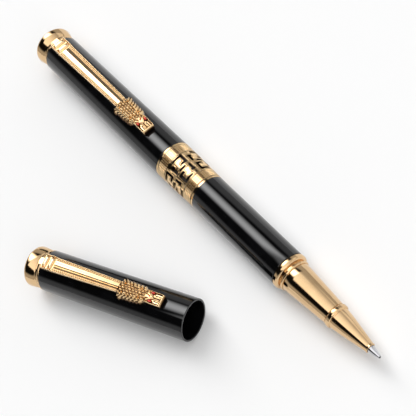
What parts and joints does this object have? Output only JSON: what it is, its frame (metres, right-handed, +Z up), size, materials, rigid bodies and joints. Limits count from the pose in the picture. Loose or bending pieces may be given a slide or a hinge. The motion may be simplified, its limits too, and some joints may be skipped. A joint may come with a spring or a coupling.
{
  "type": "rollerball pen",
  "caption": "Rollerball pen in black lacquer and gold with carved centre band and dragon-head clip, its screw-off nose section bare, and a loose clip cap lying beside it.",
  "frame": {"origin": "middle of the footprint of pen and loose cap, on the plane they lie on", "axes": "+Z up; +X along the loose cap towards its mouth; the pen's axis lies 24.8 degrees from +X towards -Y, tip forward, nose 0.37 degrees down"},
  "size_m": [0.1492, 0.0872, 0.0162],
  "materials": {
    "gold": "polished gold plate",
    "carved_gold": "cast and burnished gold plate",
    "black_lacquer": "deep black gloss lacquer over brass",
    "thread_brass": "machined brass",
    "steel": "turned stainless steel",
    "carbide": "dark polished carbide",
    "black_plastic": "satin moulded plastic",
    "white_plastic": "natural moulded plastic",
    "ink_fibre": "ink-soaked fibre rod",
    "rubber": "soft black rubber",
    "ruby": "polished red stone"
  },
  "bodies": {
    "barrel": {"front_barrel": "black_lacquer", "band_core": "black_lacquer", "carved_band": "carved_gold", "tail_tube": "black_plastic", "tail_plug": "black_plastic", "barrel_insert": "thread_brass", "refill_spring": "steel"},
    "rear_cover": {"rear_shell_tube": "black_lacquer", "rear_finial": "gold", "rear_clip_ring": "gold", "rear_finial_screw": "steel", "rear_inner_liner": "black_plastic"},
    "rear_clip": {"rear_clip_bar": "gold", "rear_dragon_head": "carved_gold", "rear_left_eye": "ruby", "rear_right_eye": "ruby", "rear_brow_stone": "ruby"},
    "section_washer": {"section_seal": "rubber"},
    "nose_section": {"grip_section": "gold", "nose_ring": "gold", "shoulder_ring": "gold", "section_thread": "thread_brass", "mid_ring": "gold", "nose_cone": "gold"},
    "refill": {"refill_tube": "steel", "refill_plug": "white_plastic", "refill_ink_core": "ink_fibre", "refill_collar": "white_plastic", "refill_tip": "steel"},
    "ball": {"writing_ball": "carbide"},
    "loose_cap": {"cap_shell_tube": "black_lacquer", "cap_finial": "gold", "cap_clip_ring": "gold", "cap_finial_screw": "steel", "cap_inner_liner": "black_plastic"},
    "cap_clip": {"cap_clip_bar": "gold", "cap_dragon_head": "carved_gold", "cap_left_eye": "ruby", "cap_right_eye": "ruby", "cap_brow_stone": "ruby"}
  },
  "joints": [
    {"name": "rear_cover_pull", "type": "slide", "parent": "barrel", "child": "rear_cover", "axis": [-0.9078, 0.4194, 0.0065], "range_m": [0, 0.045]},
    {"name": "rear_clip_flex", "type": "hinge", "parent": "rear_cover", "child": "rear_clip", "pos_m": [-0.06401, 0.03522, 0.01375], "axis": [-0.4121, -0.8945, 0.1736], "range_deg": [0, 4], "stiffness_Nm_per_rad": 1.5},
    {"name": "section_travel", "type": "slide", "parent": "barrel", "child": "section_washer", "axis": [0.9078, -0.4194, -0.0065], "range_m": [0, 0.006]},
    {"name": "section_unscrew", "type": "hinge", "parent": "section_washer", "child": "nose_section", "pos_m": [0.04102, -0.01464, 0.00615], "axis": [0.9078, -0.4194, -0.0065], "range_deg": [0, 2160]},
    {"name": "refill_push", "type": "slide", "parent": "barrel", "child": "refill", "axis": [-0.9078, 0.4194, 0.0065], "range_m": [0, 0.0008], "stiffness_N_per_m": 400, "deforming": ["refill_spring"]},
    {"name": "ball_roll", "type": "hinge", "parent": "refill", "child": "ball", "pos_m": [0.07428, -0.03001, 0.00591], "axis": [0.4195, 0.9078, 0], "continuous": true},
    {"name": "loose_cap_lift", "type": "slide", "parent": "barrel", "child": "loose_cap", "axis": [0, 0, 1], "range_m": [0, 0.06]},
    {"name": "cap_clip_flex", "type": "hinge", "parent": "loose_cap", "child": "cap_clip", "pos_m": [-0.03099, -0.03623, 0.0134], "axis": [0, -0.9925, 0.1219], "range_deg": [0, 4], "stiffness_Nm_per_rad": 1.5}
  ],
  "couplings": [
    {"joint": "section_unscrew", "follows": "section_travel", "rad_per_m": 6283.2}
  ]
}
